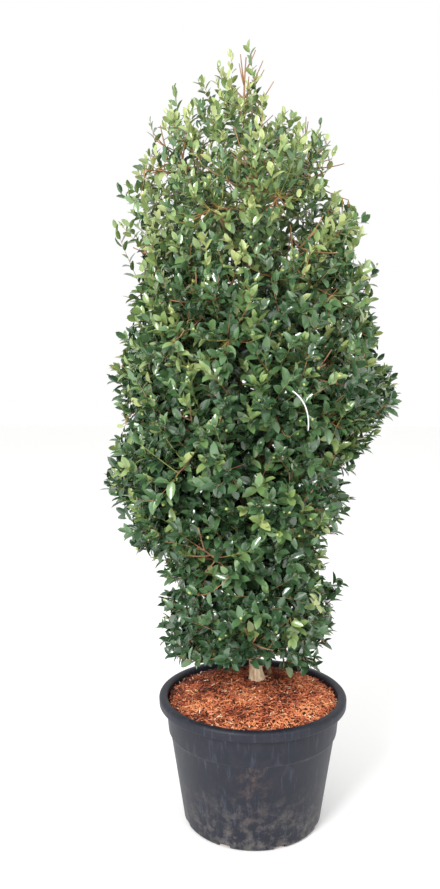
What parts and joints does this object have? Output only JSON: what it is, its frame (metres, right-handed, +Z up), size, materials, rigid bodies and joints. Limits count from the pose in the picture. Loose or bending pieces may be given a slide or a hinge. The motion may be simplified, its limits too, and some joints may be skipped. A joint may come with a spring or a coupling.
{
  "type": "potted camellia shrub",
  "caption": "Tall evergreen camellia shrub in a round nursery pot: a leaning trunk, rising boughs and masses of small glossy leaves that end in a narrow spire.",
  "frame": {"origin": "centre of the pot's flat underside", "axes": "+Z up along the pot's axis, -Y towards the camera of the picture, +X to the picture's right"},
  "size_m": [1.1363, 0.9884, 2.8612],
  "materials": {
    "pot_plastic": "dark slate blue-grey moulded polythene, scuffed and dusty",
    "bark_mulch": "reddish-orange to dark brown bark fibre on a wet root ball",
    "bark": "smooth pale tan bark",
    "foliage": "glossy dark green leaves, lighter yellow-green at the shoots' tips"
  },
  "bodies": {
    "root": {"pot": "pot_plastic", "root_ball": "bark_mulch", "trunk": "bark", "second_stem": "bark", "bough_low_1": "bark", "bough_low_3": "bark", "bough_low_4": "bark", "bough_middle_1": "bark", "bough_middle_2": "bark", "bough_middle_3": "bark", "bough_middle_4": "bark", "bough_middle_5": "bark", "bough_middle_6": "bark", "bough_shoulder_1": "bark", "bough_shoulder_2": "bark", "bough_shoulder_3": "bark", "bough_shoulder_4": "bark", "bough_skirt_1": "bark", "bough_skirt_2": "bark", "bough_skirt_3": "bark", "bough_skirt_4": "bark", "bough_skirt_5": "bark", "bough_skirt_6": "bark", "bough_upper_1": "bark", "bough_upper_2": "bark", "bough_upper_3": "bark", "bough_upper_4": "bark", "bough_upper_5": "bark", "bough_upper_6": "bark", "foliage_low_1": "foliage", "foliage_low_2": "foliage", "foliage_low_3": "foliage", "foliage_low_4": "foliage", "foliage_middle_1": "foliage", "foliage_middle_2": "foliage", "foliage_middle_3": "foliage", "foliage_middle_4": "foliage", "foliage_middle_5": "foliage", "foliage_middle_6": "foliage", "foliage_shoulder_1": "foliage", "foliage_shoulder_2": "foliage", "foliage_shoulder_3": "foliage", "foliage_shoulder_4": "foliage", "foliage_skirt_1": "foliage", "foliage_skirt_2": "foliage", "foliage_skirt_3": "foliage", "foliage_skirt_4": "foliage", "foliage_skirt_5": "foliage", "foliage_skirt_6": "foliage", "foliage_spire": "foliage", "foliage_upper_1": "foliage", "foliage_upper_2": "foliage", "foliage_upper_3": "foliage", "foliage_upper_4": "foliage", "foliage_upper_5": "foliage", "foliage_upper_6": "foliage"}
  },
  "joints": []
}
